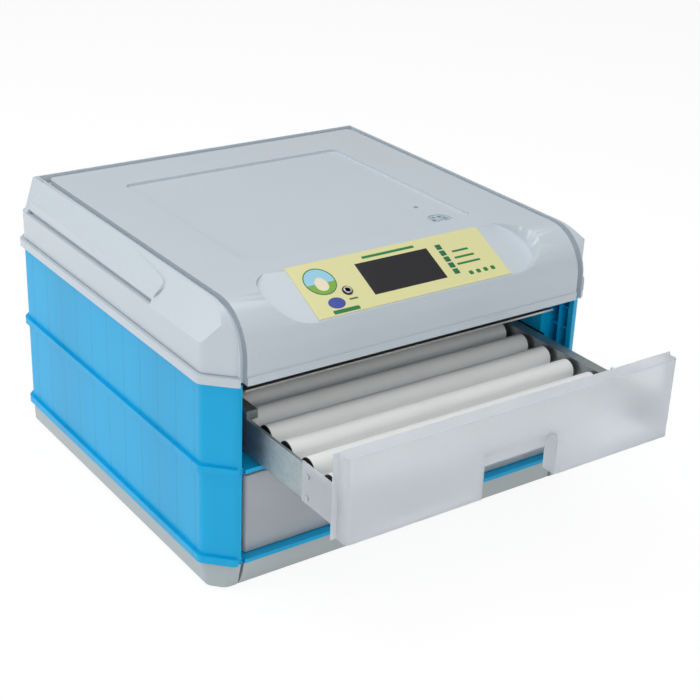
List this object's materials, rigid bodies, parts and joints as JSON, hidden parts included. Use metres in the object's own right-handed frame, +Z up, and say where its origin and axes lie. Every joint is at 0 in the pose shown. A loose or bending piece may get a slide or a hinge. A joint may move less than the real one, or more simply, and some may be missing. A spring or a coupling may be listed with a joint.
{
  "type": "egg incubator",
  "caption": "Roller-tray egg incubator: two-tier body with drawers on rails, water base and a lid with heater, fan, vent and sloping control panel.",
  "frame": {"origin": "on the floor under the middle of the body", "axes": "+X to the right when facing the drawers, +Y to the rear, +Z up"},
  "size_m": [0.54, 0.6875, 0.3347],
  "materials": {
    "base_grey": "satin moulded plastic",
    "foot_rubber": "matt rubber",
    "tray_blue": "moulded plastic",
    "tier_blue": "moulded plastic with a soft gloss",
    "guide_black": "slippery plastic",
    "screw_steel": "zinc plated",
    "lid_grey": "moulded plastic with a soft gloss",
    "vent_grey": "moulded plastic",
    "inlet_black": "moulded plastic",
    "label_print": "printed film",
    "display_black": "smoked window",
    "board_green": "printed circuit board",
    "button_green": "moulded plastic",
    "plate_steel": "galvanised sheet",
    "coil_metal": "heat-toned rod on ceramic posts",
    "fan_black": "moulded plastic",
    "probe_white": "moulded plastic",
    "front_clear": "milky translucent plastic",
    "rail_steel": "galvanised sheet",
    "motor_metal": "plated steel",
    "chain_black": "plastic chain",
    "roller_white": "extruded plastic tube"
  },
  "bodies": {
    "housing": {"base_tray": "base_grey", "base_feet": "foot_rubber", "water_tray": "tray_blue", "lower_tier": "tier_blue", "upper_tier": "tier_blue", "slide_guides": "guide_black", "guide_screws": "screw_steel", "lid_frame": "lid_grey", "hood": "lid_grey", "power_inlet": "inlet_black", "control_label": "label_print", "display_window": "display_black", "dc_jack": "inlet_black", "main_board": "board_green", "heater_plate": "plate_steel", "heating_coil": "coil_metal", "fan_housing": "fan_black", "sensor_probe": "probe_white"},
    "upper_drawer": {"upper_front": "front_clear", "upper_left_rail": "rail_steel", "upper_right_rail": "rail_steel", "upper_rear_plate": "rail_steel", "upper_gear_motor": "motor_metal", "upper_drive_chain": "chain_black", "upper_screws": "screw_steel"},
    "upper_roller_1": {"upper_roller_1": "roller_white"},
    "upper_roller_2": {"upper_roller_2": "roller_white"},
    "upper_roller_3": {"upper_roller_3": "roller_white"},
    "upper_roller_4": {"upper_roller_4": "roller_white"},
    "upper_roller_5": {"upper_roller_5": "roller_white"},
    "upper_roller_6": {"upper_roller_6": "roller_white"},
    "upper_roller_7": {"upper_roller_7": "roller_white"},
    "upper_roller_8": {"upper_roller_8": "roller_white"},
    "upper_roller_9": {"upper_roller_9": "roller_white"},
    "upper_drive_sprocket": {"upper_drive_sprocket": "chain_black"},
    "lower_drawer": {"lower_front": "front_clear", "lower_left_rail": "rail_steel", "lower_right_rail": "rail_steel", "lower_rear_plate": "rail_steel", "lower_gear_motor": "motor_metal", "lower_drive_chain": "chain_black", "lower_screws": "screw_steel"},
    "lower_roller_1": {"lower_roller_1": "roller_white"},
    "lower_roller_2": {"lower_roller_2": "roller_white"},
    "lower_roller_3": {"lower_roller_3": "roller_white"},
    "lower_roller_4": {"lower_roller_4": "roller_white"},
    "lower_roller_5": {"lower_roller_5": "roller_white"},
    "lower_roller_6": {"lower_roller_6": "roller_white"},
    "lower_roller_7": {"lower_roller_7": "roller_white"},
    "lower_roller_8": {"lower_roller_8": "roller_white"},
    "lower_roller_9": {"lower_roller_9": "roller_white"},
    "lower_drive_sprocket": {"lower_drive_sprocket": "chain_black"},
    "fan_rotor": {"fan_rotor": "fan_black"},
    "vent_dial": {"vent_dial": "vent_grey"},
    "button_1": {"button_1": "button_green"},
    "button_2": {"button_2": "button_green"},
    "button_3": {"button_3": "button_green"},
    "button_4": {"button_4": "button_green"},
    "button_5": {"button_5": "button_green"}
  },
  "joints": [
    {"name": "upper_drawer_slide", "type": "slide", "parent": "housing", "child": "upper_drawer", "axis": [0, -1, 0], "range_m": [-0.19, 0.06]},
    {"name": "upper_roller_1_spin", "type": "hinge", "parent": "upper_drawer", "child": "upper_roller_1", "pos_m": [0, -0.3714, 0.183], "axis": [1, 0, 0], "continuous": true},
    {"name": "upper_roller_2_spin", "type": "hinge", "parent": "upper_drawer", "child": "upper_roller_2", "pos_m": [0, -0.3308, 0.183], "axis": [1, 0, 0], "continuous": true},
    {"name": "upper_roller_3_spin", "type": "hinge", "parent": "upper_drawer", "child": "upper_roller_3", "pos_m": [0, -0.2902, 0.183], "axis": [1, 0, 0], "continuous": true},
    {"name": "upper_roller_4_spin", "type": "hinge", "parent": "upper_drawer", "child": "upper_roller_4", "pos_m": [0, -0.2496, 0.183], "axis": [1, 0, 0], "continuous": true},
    {"name": "upper_roller_5_spin", "type": "hinge", "parent": "upper_drawer", "child": "upper_roller_5", "pos_m": [0, -0.209, 0.183], "axis": [1, 0, 0], "continuous": true},
    {"name": "upper_roller_6_spin", "type": "hinge", "parent": "upper_drawer", "child": "upper_roller_6", "pos_m": [0, -0.1684, 0.183], "axis": [1, 0, 0], "continuous": true},
    {"name": "upper_roller_7_spin", "type": "hinge", "parent": "upper_drawer", "child": "upper_roller_7", "pos_m": [0, -0.1278, 0.183], "axis": [1, 0, 0], "continuous": true},
    {"name": "upper_roller_8_spin", "type": "hinge", "parent": "upper_drawer", "child": "upper_roller_8", "pos_m": [0, -0.0872, 0.183], "axis": [1, 0, 0], "continuous": true},
    {"name": "upper_roller_9_spin", "type": "hinge", "parent": "upper_drawer", "child": "upper_roller_9", "pos_m": [0, -0.0466, 0.183], "axis": [1, 0, 0], "continuous": true},
    {"name": "upper_drive_sprocket_spin", "type": "hinge", "parent": "upper_drawer", "child": "upper_drive_sprocket", "pos_m": [-0.2045, -0.0079, 0.1667], "axis": [1, 0, 0], "continuous": true},
    {"name": "lower_drawer_slide", "type": "slide", "parent": "housing", "child": "lower_drawer", "axis": [0, -1, 0], "range_m": [0, 0.25]},
    {"name": "lower_roller_1_spin", "type": "hinge", "parent": "lower_drawer", "child": "lower_roller_1", "pos_m": [0, -0.1814, 0.0705], "axis": [1, 0, 0], "continuous": true},
    {"name": "lower_roller_2_spin", "type": "hinge", "parent": "lower_drawer", "child": "lower_roller_2", "pos_m": [0, -0.1408, 0.0705], "axis": [1, 0, 0], "continuous": true},
    {"name": "lower_roller_3_spin", "type": "hinge", "parent": "lower_drawer", "child": "lower_roller_3", "pos_m": [0, -0.1002, 0.0705], "axis": [1, 0, 0], "continuous": true},
    {"name": "lower_roller_4_spin", "type": "hinge", "parent": "lower_drawer", "child": "lower_roller_4", "pos_m": [0, -0.0596, 0.0705], "axis": [1, 0, 0], "continuous": true},
    {"name": "lower_roller_5_spin", "type": "hinge", "parent": "lower_drawer", "child": "lower_roller_5", "pos_m": [0, -0.019, 0.0705], "axis": [1, 0, 0], "continuous": true},
    {"name": "lower_roller_6_spin", "type": "hinge", "parent": "lower_drawer", "child": "lower_roller_6", "pos_m": [0, 0.0216, 0.0705], "axis": [1, 0, 0], "continuous": true},
    {"name": "lower_roller_7_spin", "type": "hinge", "parent": "lower_drawer", "child": "lower_roller_7", "pos_m": [0, 0.0622, 0.0705], "axis": [1, 0, 0], "continuous": true},
    {"name": "lower_roller_8_spin", "type": "hinge", "parent": "lower_drawer", "child": "lower_roller_8", "pos_m": [0, 0.1028, 0.0705], "axis": [1, 0, 0], "continuous": true},
    {"name": "lower_roller_9_spin", "type": "hinge", "parent": "lower_drawer", "child": "lower_roller_9", "pos_m": [0, 0.1434, 0.0705], "axis": [1, 0, 0], "continuous": true},
    {"name": "lower_drive_sprocket_spin", "type": "hinge", "parent": "lower_drawer", "child": "lower_drive_sprocket", "pos_m": [-0.2045, 0.1821, 0.0542], "axis": [1, 0, 0], "continuous": true},
    {"name": "fan_spin", "type": "hinge", "parent": "housing", "child": "fan_rotor", "pos_m": [0, 0, 0.2447], "axis": [0, 0, 1], "continuous": true},
    {"name": "vent_turn", "type": "hinge", "parent": "housing", "child": "vent_dial", "pos_m": [0.12, -0.124, 0.3308], "axis": [0, 0, 1], "range_deg": [0, 30]},
    {"name": "button_1_press", "type": "slide", "parent": "housing", "child": "button_1", "axis": [0, 0.4368, -0.8996], "range_m": [0, 0.0008], "stiffness_N_per_m": 600},
    {"name": "button_2_press", "type": "slide", "parent": "housing", "child": "button_2", "axis": [0, 0.4368, -0.8996], "range_m": [0, 0.0008], "stiffness_N_per_m": 600},
    {"name": "button_3_press", "type": "slide", "parent": "housing", "child": "button_3", "axis": [0, 0.4368, -0.8996], "range_m": [0, 0.0008], "stiffness_N_per_m": 600},
    {"name": "button_4_press", "type": "slide", "parent": "housing", "child": "button_4", "axis": [0, 0.4368, -0.8996], "range_m": [0, 0.0008], "stiffness_N_per_m": 600},
    {"name": "button_5_press", "type": "slide", "parent": "housing", "child": "button_5", "axis": [0, 0.4368, -0.8996], "range_m": [0, 0.0008], "stiffness_N_per_m": 600}
  ],
  "couplings": [
    {"joint": "upper_roller_2_spin", "follows": "upper_roller_1_spin", "ratio": 1},
    {"joint": "upper_roller_3_spin", "follows": "upper_roller_1_spin", "ratio": 1},
    {"joint": "upper_roller_4_spin", "follows": "upper_roller_1_spin", "ratio": 1},
    {"joint": "upper_roller_5_spin", "follows": "upper_roller_1_spin", "ratio": 1},
    {"joint": "upper_roller_6_spin", "follows": "upper_roller_1_spin", "ratio": 1},
    {"joint": "upper_roller_7_spin", "follows": "upper_roller_1_spin", "ratio": 1},
    {"joint": "upper_roller_8_spin", "follows": "upper_roller_1_spin", "ratio": 1},
    {"joint": "upper_roller_9_spin", "follows": "upper_roller_1_spin", "ratio": 1},
    {"joint": "upper_drive_sprocket_spin", "follows": "upper_roller_1_spin", "ratio": -1.25},
    {"joint": "lower_roller_2_spin", "follows": "lower_roller_1_spin", "ratio": 1},
    {"joint": "lower_roller_3_spin", "follows": "lower_roller_1_spin", "ratio": 1},
    {"joint": "lower_roller_4_spin", "follows": "lower_roller_1_spin", "ratio": 1},
    {"joint": "lower_roller_5_spin", "follows": "lower_roller_1_spin", "ratio": 1},
    {"joint": "lower_roller_6_spin", "follows": "lower_roller_1_spin", "ratio": 1},
    {"joint": "lower_roller_7_spin", "follows": "lower_roller_1_spin", "ratio": 1},
    {"joint": "lower_roller_8_spin", "follows": "lower_roller_1_spin", "ratio": 1},
    {"joint": "lower_roller_9_spin", "follows": "lower_roller_1_spin", "ratio": 1},
    {"joint": "lower_drive_sprocket_spin", "follows": "lower_roller_1_spin", "ratio": -1.25}
  ]
}
